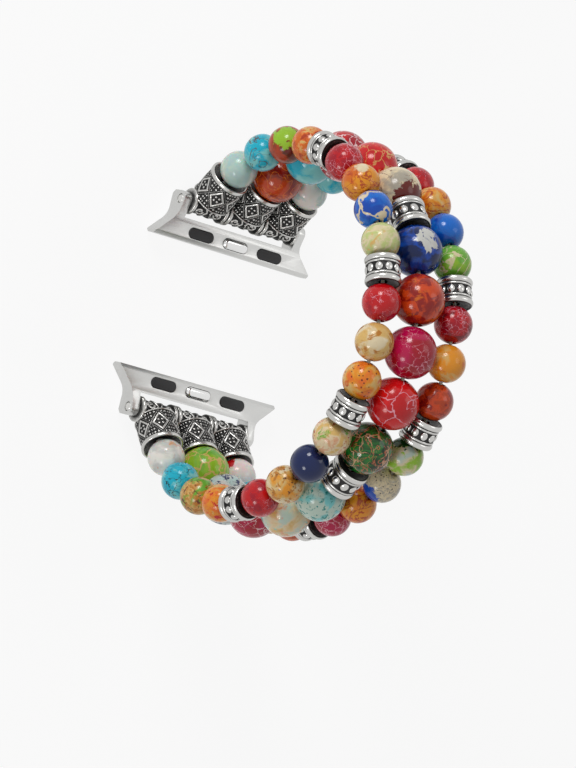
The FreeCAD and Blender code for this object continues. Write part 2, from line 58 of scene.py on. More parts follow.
VIEW_DISTANCE = 0.700
VIEW_AIM = Vector((0, 0, 0.0273))
VIEW_AIM_OFFSET = (-0.00307, -0.00747)
FOCAL_PIXELS = 4538
PHOTO_HEIGHT = 768

view_back = Vector((-0.5948, -0.0480, 0.8025)).normalized()
view_up = view_back.cross(Vector((0.7723, 0.2431, 0.5869))).normalized()
VIEW_TURN = Matrix((view_up.cross(view_back), view_up, view_back)).transposed()
camera_data = bpy.data.cameras.new("view")
# The sensor's width lies along the longer side of the picture, which is its height.
camera_data.sensor_width = 36
camera_data.lens = FOCAL_PIXELS / PHOTO_HEIGHT * camera_data.sensor_width
camera = bpy.data.objects.new("view", camera_data)
bpy.context.scene.collection.objects.link(camera)
camera_place = VIEW_AIM + VIEW_TURN @ Vector((*VIEW_AIM_OFFSET, VIEW_DISTANCE))
camera.matrix_world = Matrix.Translation(camera_place) @ VIEW_TURN.to_4x4()
bpy.context.scene.camera = camera
bpy.context.scene.view_settings.view_transform = "Standard"

# The lines that the pieces are strung on. A side view of the band as worn is a straight run
# out of each bail and five arcs, each tangent to the next. Lengths are in metres along it,
# and 0 is the seat of the first beads in the top bails.

LARGE_BEAD = 0.0080
SMALL_BEAD = 0.0059
BEAD_GAP = 0.00012
STRAND_GAP = 0.00018
STRAND_PITCH = (LARGE_BEAD + SMALL_BEAD) / 2 + STRAND_GAP
SIDE_SPOOL = {"width": 0.0056, "length": 0.0043, "nest": 0.0003}
MIDDLE_SPOOL = {"width": 0.0062, "length": 0.0047, "nest": 0.00045}
MIDDLE_STRING = "ooooo8ooooo8ooooo"
SIDE_STRING = "oooo8oooo8ooo8oooo8oooo"
SIDE_PIECES_BESIDE = (1, 2, 1, 2, 1, 1, 1, 2, 1, 2, 1, 1, 1, 2, 1, 2, 1)
BAR_HEIGHT = 0.0023
BAIL_TO_STRAND = 0.00605
END_ARC, END_RADIUS = 0.0130, 0.0225
SIDE_RADIUS = 0.0292
BACK_ARC, BACK_RADIUS = 0.0260, 0.0275


def string_pitches(string, bead, spool):
    """Length that each piece takes up. A spool gives back the dishes that beads nest in."""
    steps = {"o": bead, "8": spool["length"] - 2 * spool["nest"]}
    return np.array([steps[kind] + BEAD_GAP for kind in string])


middle_pitches = string_pitches(MIDDLE_STRING, LARGE_BEAD, MIDDLE_SPOOL)
side_pitches = string_pitches(SIDE_STRING, SMALL_BEAD, SIDE_SPOOL)
strand_length = max(middle_pitches.sum(), side_pitches.sum())


def string_centres(pitches):
    """Centres of the pieces along a strand, with its spare length shared out evenly."""
    pitches = pitches + (strand_length - pitches.sum()) / len(pitches)
    return np.cumsum(pitches) - pitches / 2


middle_centres = string_centres(middle_pitches)
side_centres = string_centres(side_pitches)
MIDDLE_LINE = {"string": MIDDLE_STRING, "centres": middle_centres,
               "rows": np.arange(len(MIDDLE_STRING)) + 1}
SIDE_LINE = {"string": SIDE_STRING, "centres": side_centres,
             "rows": np.repeat(MIDDLE_LINE["rows"], SIDE_PIECES_BESIDE)}
side_arc = (strand_length - 2 * END_ARC - BACK_ARC) / 2
WORN_ARCS = ((END_ARC, END_RADIUS), (side_arc, SIDE_RADIUS), (BACK_ARC, BACK_RADIUS),
             (side_arc, SIDE_RADIUS), (END_ARC, END_RADIUS))
arc_turns = np.array([length / radius for length, radius in WORN_ARCS])
arc_starts = np.concatenate([[0], np.cumsum([length for length, _ in WORN_ARCS])])
start_heading = math.pi - arc_turns.sum() / 2


def worn_heading(distance):
    """Angle of the line above +Y: it grows with the length passed over each arc's radius."""
    knots = start_heading + np.concatenate([[0], np.cumsum(arc_turns)])
    return np.interp(distance, arc_starts, knots)


def worn_from_start(distance):
    """Side view place after a distance: whole arcs first, then a part of one, then a line."""
    place = np.zeros(2)
    heading = start_heading
    if distance < 0:
        return np.array([math.cos(heading), math.sin(heading)]) * distance
    for length, radius in WORN_ARCS:
        run = min(distance, length)
        after = heading + run / radius
        place = place + radius * np.array([math.sin(after) - math.sin(heading),
                                           math.cos(heading) - math.cos(after)])
        heading = after
        distance = distance - run
        if distance <= 0:
            return place
    return place + distance * np.array([math.cos(heading), math.sin(heading)])


top_bar = worn_from_start(-BAIL_TO_STRAND)
bottom_bar = worn_from_start(strand_length + BAIL_TO_STRAND)
strand_start = np.array([-(top_bar[0] + bottom_bar[0]) / 2, BAR_HEIGHT - top_bar[1]])


def cord_place(strand, distance):
    """Place and axes of a piece on a strand, -1, 0 or 1: X across, Z along the cord."""
    y, z = worn_from_start(distance) + strand_start
    heading = worn_heading(distance)
    along = Vector((0, math.cos(heading), math.sin(heading)))
    across = Vector((1, 0, 0))
    turn = Matrix((across, along.cross(across), along)).transposed()
    return Matrix.Translation((strand * STRAND_PITCH, y, z)) @ turn.to_4x4()


# The stone beads. Each is a ball of dyed or natural stone, tumbled to a polish and drilled,
# with the edge of the hole just broken. The middle strand has 8 mm beads and the side
# strands have beads of just under 6 mm. The ends of the cords hold them on.

BEAD_HOLE = 0.0014
HOLE_EDGE = 0.00010
BEAD_AROUND = 72
BEAD_ALONG = 44


def places_of(kind, string):
    """The places on a string that hold beads, o, or spools, 8."""
    return [number for number, piece in enumerate(string) if piece == kind]


def surface(name, *grids):
    """Mesh object on grids of points, around by along by 3. Each grid closes on itself both
    ways, like a ring, and its quads are wound the same way."""
    quads = []
    first = 0
    for grid in grids:
        around, along = grid.shape[:2]
        index = first + np.arange(around * along).reshape(around, along)
        index = np.concatenate([index, index[:1]])
        index = np.concatenate([index, index[:, :1]], axis=1)
        ring = [index[:-1, :-1], index[1:, :-1], index[1:, 1:], index[:-1, 1:]]
        quads.append(np.stack(ring, axis=-1).reshape(-1, 4))
        first += around * along
    mesh = bpy.data.meshes.new(name)
    points = np.concatenate([grid.reshape(-1, 3) for grid in grids])
    mesh.from_pydata(points, [], np.concatenate(quads).tolist())
    mesh.shade_smooth()
    made = bpy.data.objects.new(name, mesh)
    bpy.context.scene.collection.objects.link(made)
    return made


def put(points, place):
    """Grid of points moved by a placement."""
    turn = np.array(place.to_3x3())
    return points @ turn.T + np.array(place.translation)


def turned(radii, heights):
    """A form turned about its Z axis: radii go around by along, and heights only along."""
    turn = np.linspace(0, 2 * math.pi, len(radii), endpoint=False)[:, None]
    return np.stack([radii * np.cos(turn), radii * np.sin(turn),
                     np.broadcast_to(heights, radii.shape)], axis=-1)


def drilled_bead(name, width, place):
    """A ball of radius R: points R sin a, R cos a for a from hole to hole, a small round edge
    at each end, and a straight bore back."""
    radius = width / 2
    bore = BEAD_HOLE / 2
    first = math.asin((bore + HOLE_EDGE) / radius)
    polar = np.linspace(first, math.pi - first, BEAD_ALONG)
    outer = np.stack([radius * np.sin(polar), radius * np.cos(polar)], axis=1)
    depth = outer[0, 1] - HOLE_EDGE
    inner = np.stack([np.full(4, bore), np.linspace(-depth, depth, 4)], axis=1)
    profile = np.concatenate([outer, inner])[::-1]
    ball = turned(np.tile(profile[:, 0], (BEAD_AROUND, 1)), profile[:, 1])
    return surface(name, put(ball, place))


def tone(red, green, blue):
    """A colour given as a screen shows it, 0 to 255, in the shader's linear numbers."""
    shares = [channel / 255 for channel in (red, green, blue)]
    return (*[s / 12.92 if s <= 0.04045 else ((s + 0.055) / 1.055) ** 2.4 for s in shares], 1)


class Wire:
    """A value among the nodes. Arithmetic on wires adds the Math nodes that work it out."""

    def __init__(self, nodes, socket):
        self.nodes = nodes
        self.socket = socket

    def maths(self, operation, *values):
        """Add a Math node on wires or numbers."""
        return self.nodes.node("ShaderNodeMath", {"operation": operation}, dict(enumerate(values)))

    def __add__(self, other):
        return self.maths("ADD", self, other)

    def __radd__(self, other):
        return self.maths("ADD", other, self)

    def __sub__(self, other):
        return self.maths("SUBTRACT", self, other)

    def __rsub__(self, other):
        return self.maths("SUBTRACT", other, self)

    def __mul__(self, other):
        return self.maths("MULTIPLY", self, other)

    def __rmul__(self, other):
        return self.maths("MULTIPLY", other, self)

    def __truediv__(self, other):
        return self.maths("DIVIDE", self, other)

    def size(self):
        return self.maths("ABSOLUTE", self)

    def most(self, other):
        return self.maths("MAXIMUM", self, other)


class Nodes:
    """The nodes of a material or of the sky."""

    def __init__(self, tree):
        self.tree = tree

    def node(self, kind, settings=None, inputs=None, output=0):
        """Add a node: its settings first, then values or wires for its sockets."""
        made = self.tree.nodes.new(kind)
        for setting, value in (settings or {}).items():
            if setting == "stops":
                while len(made.color_ramp.elements) < len(value):
                    made.color_ramp.elements.new(0.5)
                for element, (place, colour) in zip(made.color_ramp.elements, value):
                    element.position = place
                    element.color = colour
            else:
                setattr(made, setting, value)
        for socket, value in (inputs or {}).items():
            if isinstance(value, Wire):
                self.tree.links.new(value.socket, made.inputs[socket])
            else:
                made.inputs[socket].default_value = value
        return Wire(self, made.outputs[output])


class Finish(Nodes):
    """One material, made node by node."""

    def __init__(self, name, **fixed):
        self.material = bpy.data.materials.new(name)
        self.material.use_nodes = True
        super().__init__(self.material.node_tree)
        self.shader = self.tree.nodes["Principled BSDF"]
        for socket, value in fixed.items():
            self.shader.inputs[socket.replace("_", " ")].default_value = value

    def feed(self, **wires):
        """Join wires to the sockets of the shader."""
        for socket, wire in wires.items():
            self.tree.links.new(wire.socket, self.shader.inputs[socket.replace("_", " ")])

    def noise(self, place, scale, detail=3.0, rough=0.5, twist=0.0):
        """Soft clouds, 0 to 1, about 0.5."""
        return self.node("ShaderNodeTexNoise", None, {
            "Vector": place, "Scale": scale, "Detail": detail, "Roughness": rough,
            "Distortion": twist})

    def step(self, value, low, high):
        """0 below low, 1 above high and a soft step between."""
        return self.node("ShaderNodeMapRange", {"interpolation_type": "SMOOTHSTEP"},
                         {"Value": value, "From Min": low, "From Max": high})

    def mix(self, share, first, second):
        """The first colour where the share is 0 and the second where it is 1."""
        return self.node("ShaderNodeMix", {"data_type": "RGBA"},
                         {0: share, 6: first, 7: second}, output=2)

    def bump(self, height, depth):
        """Fine unevenness of the surface, from a height of 0 to 1 and its depth in metres."""
        return self.node("ShaderNodeBump", None, {
            "Strength": 1.0, "Distance": depth, "Height": height})


WHITE = tone(238, 236, 228)
CREAM = tone(232, 214, 176)
PEACH = tone(222, 168, 128)
SAND = tone(222, 182, 108)
OCHRE = tone(190, 122, 40)
GOLD = tone(232, 150, 32)
AMBER = tone(214, 104, 22)
ORANGE = tone(232, 112, 36)
RUST = tone(178, 62, 22)
BROWN = tone(92, 44, 20)
MAROON = tone(104, 26, 16)
RED = tone(198, 16, 24)
DEEP_RED = tone(150, 26, 14)
FIRE = tone(214, 72, 22)
BRIGHT_RED = tone(220, 20, 24)
CRIMSON = tone(166, 8, 34)
WINE = tone(126, 14, 30)
MAGENTA = tone(188, 10, 76)
PINK = tone(240, 168, 184)
ROSE_WHITE = tone(250, 222, 224)
LIME = tone(150, 196, 44)
PALE_LIME = tone(198, 208, 132)
LEAF = tone(108, 176, 52)
DEEP_GREEN = tone(36, 82, 30)
BOTTLE = tone(8, 50, 20)
GLASS_GREEN = tone(38, 128, 44)
MINT = tone(196, 216, 202)
TEAL = tone(34, 140, 134)
TURQUOISE = tone(14, 180, 206)
PALE_TURQUOISE = tone(126, 208, 208)
AQUA = tone(180, 210, 206)
AZURE = tone(8, 108, 208)
BLUE = tone(8, 72, 176)
NAVY = tone(6, 30, 84)
INK = tone(20, 20, 26)
STONE_GREY = tone(176, 168, 152)
PALE_GREY = tone(206, 206, 200)
COPPER = tone(206, 110, 72)


class Stone(Finish):
    """Polished stone. Its patterns are worked out in a ball of radius 1 on the axes of the
    view, and each layer gives the share, 0 to 1, of its colour over the colour below it."""

    def __init__(self, name, place, radius, seed, gloss, clouded):
        super().__init__(name, Roughness=gloss, Specular_IOR_Level=0.3, Coat_Weight=0.08,
                         Coat_Roughness=0.06, Subsurface_Weight=clouded, Subsurface_Scale=0.0015)
        spot = self.node("ShaderNodeTexCoord", output="Object")
        self.ball = self.node("ShaderNodeMapping", {"vector_type": "TEXTURE"}, {
            "Vector": spot, "Location": place.translation, "Rotation": VIEW_TURN.to_euler(),
            "Scale": (radius, radius, radius)})
        self.own = self.moved(self.ball, (seed * 3.7, seed * -2.3, seed * 5.1))

    def moved(self, place, shift):
        """A place moved on, so that beads and layers don't share one pattern."""
        return self.node("ShaderNodeVectorMath", {"operation": "ADD"}, {0: place, 1: shift})

    def ground(self, colours, grain):
        """A noise stepped softly, through a ramp of the ground colours."""
        clouds = self.step(self.noise(self.own, grain, 4, 0.55, 0.6), 0.32, 0.68)
        stops = [(0.1 + 0.8 * n / (len(colours) - 1), colour) for n, colour in enumerate(colours)]
        return self.node("ShaderNodeValToRGB", {"stops": stops}, {"Fac": clouds})

    def blotches(self, share, scale, shift=11.0):
        """Where a noise passes an edge, which is lower for a larger share."""
        blots = self.noise(self.moved(self.own, (shift, -shift, shift)), scale, 5, 0.6, 0.9)
        edge = 0.68 - 0.36 * share
        return self.step(blots, edge - 0.03, edge + 0.05)

    def more_blotches(self, share, scale):
        """Blotches at other places."""
        return self.blotches(share, scale, 23.0)

    def streaks(self, width, scale):
        """Lines where a twisted noise is near its middle value."""
        away = (self.noise(self.own, scale, 3, 0.5, 1.6) - 0.5).size()
        return (1 - self.step(away, width * 0.3, width)) * 0.9

    def specks(self, width, scale):
        """Dots of uneven width about the centres of cells, in herds."""
        away = self.node("ShaderNodeTexVoronoi", None,
                         {"Vector": self.own, "Scale": scale, "Randomness": 1.0})
        herd = self.step(self.noise(self.own, 1.6, 2), 0.40, 0.55)
        uneven = self.noise(self.own, scale * 1.7, 2) * width * 1.6
        return (1 - self.step(away, uneven * 0.6, uneven)) * herd

    def veins(self, width, scale, cover):
        """The borders of bent cells, which thin out where a slow noise is low."""
        wander = self.node("ShaderNodeTexNoise", None, {
            "Vector": self.own, "Scale": scale * 1.4, "Detail": 3.0}, output="Color")
        bent = self.node("ShaderNodeVectorMath", {"operation": "MULTIPLY_ADD"},
                         {0: wander, 1: (1.1 / scale,) * 3, 2: self.own})
        border = self.node("ShaderNodeTexVoronoi", {"feature": "DISTANCE_TO_EDGE"},
                           {"Vector": bent, "Scale": scale})
        fade = self.step(self.noise(self.own, 1.3, 3), 0.62 - 0.4 * cover, 0.74 - 0.3 * cover)
        return (1 - self.step(border / (fade * width + 0.0005), 0.45, 1.0)) * 0.92

    def patch(self, direction, reach, ragged):
        """A cap about a direction: where the cosine of the angle to it, with a ripple added,
        passes its reach."""
        facing = self.node("ShaderNodeVectorMath", {"operation": "DOT_PRODUCT"},
                           {0: self.ball, 1: Vector(direction).normalized()}, output="Value")
        ripple = (self.noise(self.own, 2.6, 5, 0.6, 0.8) - 0.5) * ragged
        return self.step(facing + ripple, reach - 0.02, reach + 0.03)


def stone(name, place, radius, seed, ground, grain=1.1, blotch=None, second=None, streak=None,
          specks=None, web=None, patch=None, gloss=0.17, clouded=0.0):
    """The finish of one bead: its ground, then each layer that it has, over the one before."""
    finish = Stone(name, place, radius, seed, gloss, clouded)
    colour = finish.ground(ground, grain)
    layers = ((blotch, finish.blotches), (second, finish.more_blotches), (streak, finish.streaks),
              (specks, finish.specks), (web, finish.veins), (patch, finish.patch))
    for layer, share in layers:
        if layer:
            tint, *sizes = layer
            colour = finish.mix(share(*sizes), colour, tint)
    finish.feed(Base_Color=colour)
    return finish.material


# Each stone, from the top end to the bottom end. A layer starts with its colour. Directions
# are right, up and towards the eye.
NEAR_STONES = [
    dict(ground=(AQUA, MINT, WHITE), clouded=0.4, grain=0.8),
    dict(ground=(TURQUOISE, TURQUOISE, PALE_TURQUOISE), streak=(BROWN, 0.014, 0.55)),
    dict(ground=(MAROON, BROWN, RUST), patch=(LIME, (-0.1, 0.45, 0.85), 0.76, 1.1)),
    dict(ground=(RUST, ORANGE, SAND), grain=2.0, blotch=(AMBER, 0.45, 1.6)),
    dict(ground=(CRIMSON, RED, CRIMSON), web=(PINK, 0.035, 3.2, 0.75)),
    dict(ground=(AMBER, GOLD, GOLD), streak=(RUST, 0.025, 0.8),
         patch=(CREAM, (0, 0.8, 0.6), 0.93, 0.3)),
    dict(ground=(BLUE, AZURE, AZURE), grain=0.8, web=(CREAM, 0.07, 0.75, 1.0)),
    dict(ground=(PALE_LIME, CREAM, PALE_LIME), grain=1.2, blotch=(SAND, 0.24, 2.0),
         specks=(OCHRE, 0.16, 4.6)),
    dict(ground=(RED, RED, CRIMSON), web=(PINK, 0.022, 2.6, 0.35)),
    dict(ground=(SAND, SAND, CREAM), blotch=(OCHRE, 0.34, 1.5)),
    dict(ground=(ORANGE, GOLD, SAND), blotch=(AMBER, 0.24, 1.8), specks=(MAROON, 0.36, 4.6)),
    dict(ground=(PEACH, CREAM, SAND), grain=1.6, blotch=(LEAF, 0.24, 1.3), second=(RUST, 0.2, 2.4)),
    dict(ground=(NAVY, NAVY, NAVY), gloss=0.10),
    dict(ground=(GOLD, SAND, CREAM), blotch=(OCHRE, 0.4, 2.4), specks=(BROWN, 0.3, 4.6)),
    dict(ground=(CRIMSON, RED, RED), grain=2.0, web=(PINK, 0.03, 3.0, 0.3)),
    dict(ground=(ORANGE, GOLD, ORANGE), grain=1.6, blotch=(SAND, 0.3, 1.8),
         second=(RED, 0.24, 1.4)),
    dict(ground=(OCHRE, SAND, OCHRE), grain=2.0, blotch=(LEAF, 0.34, 1.2),
         second=(BROWN, 0.3, 3.0)),
    dict(ground=(TURQUOISE, TURQUOISE, PALE_TURQUOISE), web=(INK, 0.035, 1.8, 0.8)),
    dict(ground=(WHITE, WHITE, PALE_GREY), clouded=0.3, grain=0.8, blotch=(PEACH, 0.16, 1.6)),
]
MIDDLE_STONES = [
    dict(ground=(DEEP_RED, RUST, FIRE), grain=1.2, streak=(ORANGE, 0.03, 1.2), gloss=0.12),
    dict(ground=(TURQUOISE, TURQUOISE, PALE_TURQUOISE), grain=0.8),
    dict(ground=(CRIMSON, CRIMSON, RED), web=(ROSE_WHITE, 0.05, 2.4, 0.8)),
    dict(ground=(RED, BRIGHT_RED, RED), web=(SAND, 0.04, 2.1, 0.7)),
    dict(ground=(STONE_GREY, CREAM, CREAM), grain=1.0, web=(MAROON, 0.05, 2.6, 0.5),
         patch=(MAROON, (0.60, -0.35, 0.70), 0.68, 1.0)),
    dict(ground=(NAVY, BLUE, NAVY), grain=1.2, patch=(PALE_GREY, (0.45, 0.5, 0.75), 0.90, 0.75)),
    dict(ground=(DEEP_RED, FIRE, FIRE), grain=1.3, blotch=(DEEP_RED, 0.4, 1.8),
         second=(AMBER, 0.16, 1.6)),
    dict(ground=(MAGENTA, MAGENTA, CRIMSON), grain=0.8, web=(PINK, 0.03, 3.0, 0.6)),
    dict(ground=(BRIGHT_RED, BRIGHT_RED, RED), grain=0.8, web=(PINK, 0.022, 0.95, 0.9)),
    dict(ground=(BOTTLE, GLASS_GREEN, DEEP_GREEN), grain=1.2, blotch=(MAROON, 0.24, 1.1),
         streak=(COPPER, 0.02, 1.3), web=(PEACH, 0.045, 1.8, 0.6), gloss=0.07),
    dict(ground=(PALE_TURQUOISE, MINT, MINT), grain=1.4, blotch=(TEAL, 0.3, 4.0),
         specks=(TEAL, 0.3, 4.6)),
    dict(ground=(SAND, CREAM, MINT), clouded=0.3, grain=0.9, blotch=(PEACH, 0.3, 1.6),
         second=(PALE_TURQUOISE, 0.22, 1.0)),
    dict(ground=(CRIMSON, CRIMSON, MAGENTA), web=(ROSE_WHITE, 0.035, 2.4, 0.6)),
    dict(ground=(PALE_GREY, AQUA, PALE_GREY), blotch=(NAVY, 0.36, 4.2), specks=(INK, 0.28, 4.4)),
    dict(ground=(LIME, LIME, LEAF), grain=0.9, second=(DEEP_GREEN, 0.16, 1.6),
         web=(SAND, 0.07, 1.5, 0.8)),
]
FAR_STONES = [
    dict(ground=(WHITE, WHITE, AQUA), clouded=0.3, grain=0.8,
         patch=(PEACH, (0.5, 0.8, 0.3), 0.72, 0.5)),
    dict(ground=(PALE_TURQUOISE, PALE_TURQUOISE, TURQUOISE), grain=1.4),
    dict(ground=(MAROON, BROWN, RUST), blotch=(LIME, 0.24, 1.2)),
    dict(ground=(RUST, ORANGE, SAND), grain=2.0, blotch=(AMBER, 0.45, 1.6)),
    dict(ground=(RED, CRIMSON, RED), web=(PINK, 0.03, 2.6, 0.5)),
    dict(ground=(AMBER, GOLD, SAND), streak=(RUST, 0.04, 1.0)),
    dict(ground=(AZURE, AZURE, BLUE), grain=0.8),
    dict(ground=(LEAF, LEAF, LIME), grain=0.8, streak=(CREAM, 0.02, 0.6)),
    dict(ground=(CRIMSON, RED, WINE), web=(PINK, 0.03, 3.2, 0.6)),
    dict(ground=(GOLD, GOLD, SAND), blotch=(AMBER, 0.16, 1.6)),
    dict(ground=(RUST, FIRE, RUST), grain=1.8, blotch=(DEEP_RED, 0.34, 2.2)),
    dict(ground=(MINT, CREAM, LIME), blotch=(LIME, 0.24, 1.5),
         patch=(DEEP_GREEN, (0.1, 0.9, 0.4), 0.72, 0.9)),
    dict(ground=(STONE_GREY, CREAM, STONE_GREY), grain=3.0, specks=(INK, 0.3, 5.0),
         patch=(BLUE, (-0.75, -0.55, 0.35), 0.80, 0.5)),
    dict(ground=(ORANGE, GOLD, GOLD), grain=1.4, streak=(RUST, 0.05, 1.2)),
    dict(ground=(CRIMSON, MAGENTA, CRIMSON), web=(PINK, 0.05, 2.6, 0.8)),
    dict(ground=(ORANGE, RUST, ORANGE), grain=1.6, blotch=(RED, 0.3, 1.6)),
    dict(ground=(OCHRE, SAND, PEACH), grain=1.6, blotch=(LEAF, 0.3, 1.4)),
    dict(ground=(TURQUOISE, TURQUOISE, PALE_TURQUOISE), web=(INK, 0.03, 1.8, 0.7)),
    dict(ground=(WHITE, ROSE_WHITE, WHITE), clouded=0.3, grain=0.8,
         patch=(RED, (-0.7, 0.6, 0.2), 0.74, 0.5)),
]

bead_seed = 0
for strand, side, line, width, stones in ((-1, "near", SIDE_LINE, SMALL_BEAD, NEAR_STONES),
                                          (0, "middle", MIDDLE_LINE, LARGE_BEAD, MIDDLE_STONES),
                                          (1, "far", SIDE_LINE, SMALL_BEAD, FAR_STONES)):
    for count, (number, recipe) in enumerate(zip(places_of("o", line["string"]), stones), start=1):
        bead_seed += 1
        row = line["rows"][number]
        place = cord_place(strand, line["centres"][number])
        name = f"stone_{side}_{count:02d}"
        bead = drilled_bead(name, width, place)
        bead.data.materials.append(stone(name, place, width / 2, bead_seed, **recipe))
        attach(bead, f"row_{row:02d}")
        if strand == 0:
            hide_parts(f"middle_bead_{count:02d}")
        else:
            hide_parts(f"side_beads_row_{row:02d}")

# The spools. Each is cast in white metal: two rolled rims, each with a finer ridge beside it,
# and between them a sunk band with a ring of round studs. The casting is blackened and then
# polished, so the dark stays only in the hollows. A dish in each end takes the next bead.

SPOOL_AROUND = 240
RIM_STEPS, BAND_STEPS, DISH_STEPS = 26, 34, 10
STUDS = 10
STUD_SHARE = 0.80
SPOOL_RIM = 0.00050
SPOOL_RIDGE = 0.00022
SUNK_BAND = 0.00042
DISH_LIP = 0.0001
DISH_CORNER = 0.00012
DISH_ROOM = 0.0002


def ridge(place, centre, half_width):
    """Half ellipse of height 1 about a centre, which falls to 0 at half_width from it."""
    return np.sqrt(np.clip(1 - ((place - centre) / half_width) ** 2, 0, 1))


def blackened_metal(name, polish):
    """White metal that is bright where the relief attribute is 1 and black where it is 0."""
    finish = Finish(name, Metallic=1.0)
    spot = finish.node("ShaderNodeTexCoord", output="Object")
    relief = finish.node("ShaderNodeAttribute", {"attribute_name": "relief"}, output="Fac")
    wear = finish.noise(spot, 2600, 4, 0.6)
    bright = finish.step(relief + (wear - 0.5) * 0.4, 0.48, 0.88)
    colour = finish.mix(bright, tone(16, 15, 15), tone(190, 189, 186))
    finish.feed(Base_Color=colour, Roughness=0.42 - bright * (0.42 - polish) + (wear - 0.5) * 0.08,
                Metallic=0.35 + bright * 0.65,
                Normal=finish.bump(finish.noise(spot, 5200, 3), 0.00002))
    return finish.material


cast_metal = blackened_metal("cast_white_metal", 0.20)


def give_relief(piece, relief):
    """Store how far each point stands out, 0 to 1, for the finish."""
    attribute = piece.data.attributes.new("relief", "FLOAT", "POINT")
    attribute.data.foreach_set("value", np.clip(relief, 0, 1).astype(np.float32).ravel())


def studded_spool(name, size, place):
    """Outer radius along the axis is a neck plus a half ellipse for each rim and ridge, and
    each stud adds a low dome about its own centre in the band. The ends turn in to the bore."""
    radius, half = size["width"] / 2, size["length"] / 2
    neck = radius - SUNK_BAND
    rims = 2.6 * SPOOL_RIM
    band = half - 2 * SPOOL_RIM - SPOOL_RIDGE
    along = np.concatenate([np.linspace(-half, rims - half, RIM_STEPS, endpoint=False),
                            np.linspace(rims - half, half - rims, BAND_STEPS, endpoint=False),
                            np.linspace(half - rims, half, RIM_STEPS)])
    rise = np.maximum(ridge(np.abs(along), half - SPOOL_RIM, SPOOL_RIM) * SUNK_BAND,
                      ridge(np.abs(along), band, SPOOL_RIDGE) * SUNK_BAND * 0.62)
    turn = np.linspace(0, 2 * math.pi, SPOOL_AROUND, endpoint=False)
    stud_radius = min(band * 0.96, math.pi * radius / STUDS * STUD_SHARE)
    nearest = (turn * STUDS / (2 * math.pi) + 0.5) % 1 - 0.5
    aside = nearest * 2 * math.pi * radius / STUDS
    away = np.hypot(aside[:, None], along[None, :]) / stud_radius
    dome = ridge(away, 0, 1) * SUNK_BAND * 0.85
    shine = np.where(away < 1, 2.4 * dome / SUNK_BAND, rise[None, :] / SUNK_BAND * 1.6)
    bore = BEAD_HOLE / 2
    mouth = neck - DISH_LIP
    floor = half - size["nest"] - DISH_ROOM
    inward = np.linspace(mouth, bore, DISH_STEPS)
    share = (inward - bore) / (mouth - bore)
    dish = floor + (half - DISH_CORNER - floor) * share ** 1.6
    outer = neck + np.maximum(rise[None, :], dome)
    inner = np.tile(inward, (SPOOL_AROUND, 1))
    radii = np.concatenate([outer, inner, inner[:, ::-1]], axis=1)
    heights = np.concatenate([along, dish, -dish[::-1]])
    spool = surface(name, put(turned(radii, heights), place))
    dull = np.tile(0.30 + 0.3 * share, (SPOOL_AROUND, 1))
    give_relief(spool, np.concatenate([shine, dull, dull[:, ::-1]], axis=1))
    spool.data.materials.append(cast_metal)
    return spool


def string_spool(name, node, size, strand, line, number):
    """Put a spool at its place on a cord, in place of its CAD node."""
    spool = studded_spool(name, size, cord_place(strand, line["centres"][number]))
    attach(spool, f"row_{line['rows'][number]:02d}")
    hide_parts(node)


for count, number in enumerate(places_of("8", SIDE_STRING), start=1):
    for strand, side in ((-1, "near"), (1, "far")):
        string_spool(f"spool_{side}_{count}", f"side_spools_{count}", SIDE_SPOOL, strand,
                     SIDE_LINE, number)
for count, number in enumerate(places_of("8", MIDDLE_STRING), start=1):
    string_spool(f"spool_middle_{count}", f"middle_spool_{count}", MIDDLE_SPOOL, 0,
                 MIDDLE_LINE, number)

# The bails. Each is cast in one piece: a barrel with a net of raised lozenges, four pearls in
# each, on a blackened ground, a plain rim round the dish that takes the first bead, and a
# cross tube with a ring at each end and scrolls between, which turns on the steel bar.

BAIL = {"reach": 0.0069, "radius": 0.0032, "ring": 0.00015, "root": 0.00135, "foot_ring": 0.0004,
        "mouth_ring": 0.0007, "lip": 0.00030, "seat": 0.00085, "seat_radius": 0.0014,
        "pocket": 0.00115, "pocket_depth": 0.0022, "relief": 0.00022}
BAIL_AROUND = 300
NET_STEPS = 84
LOZENGES = 6
LOZENGE_HALF = (0.00134, 0.00172)
PEARL = 0.00025
PEARL_STEP = (0.00062, 0.00066)
GROUND_STEP = (0.00060, 0.00064)
TUBE = {"length": STRAND_PITCH - 0.0003, "radius": 0.00175, "flange": 0.0021,
        "flange_width": 0.0006, "bore": 0.00083, "relief": 0.0002}
TUBE_STEPS = 96
SCROLLS = 4
SCROLL_CENTRE = 0.00178
SCROLL_RADIUS = 0.00052
SCROLL_OPENING = 0.00007
LEAF_END = 0.00115

bail_turn = np.linspace(0, 2 * math.pi, BAIL_AROUND, endpoint=False)[:, None]


def pearls(aside, up, step):
    """Half balls on a grid with that step, worked out from the nearest grid point."""
    near_aside = (aside / step[0] + 0.5) % 1 - 0.5
    near_up = (up / step[1] + 0.5) % 1 - 0.5
    away = np.hypot(near_aside * step[0], near_up * step[1])
    return ridge(away, 0, PEARL)


def lozenge_net(up):
    """Height, 0 to 1, on the barrel: lozenges where |a|/w + |u|/h is about 1, four pearls
    inside, a thin line outside each, and smaller pearls on the ground between them."""
    pitch = 2 * math.pi * BAIL["radius"] / LOZENGES
    aside = ((bail_turn * LOZENGES / (2 * math.pi) + 0.5) % 1 - 0.5) * pitch
    reach = np.abs(aside) / LOZENGE_HALF[0] + np.abs(up) / LOZENGE_HALF[1]
    frame_line = ridge(reach, 0.90, 0.17) ** 0.5
    four = pearls(aside + PEARL_STEP[0] / 2, up + PEARL_STEP[1] / 2, PEARL_STEP)
    inside = np.where(reach < 0.62, four, 0)
    leaf_line = ridge(reach, 1.27, 0.07) * 0.8
    ground = np.where(reach > 1.42, pearls(aside + pitch / 2, up, GROUND_STEP), 0) * 0.9
    return np.maximum(np.maximum(frame_line, inside), np.maximum(leaf_line, ground))


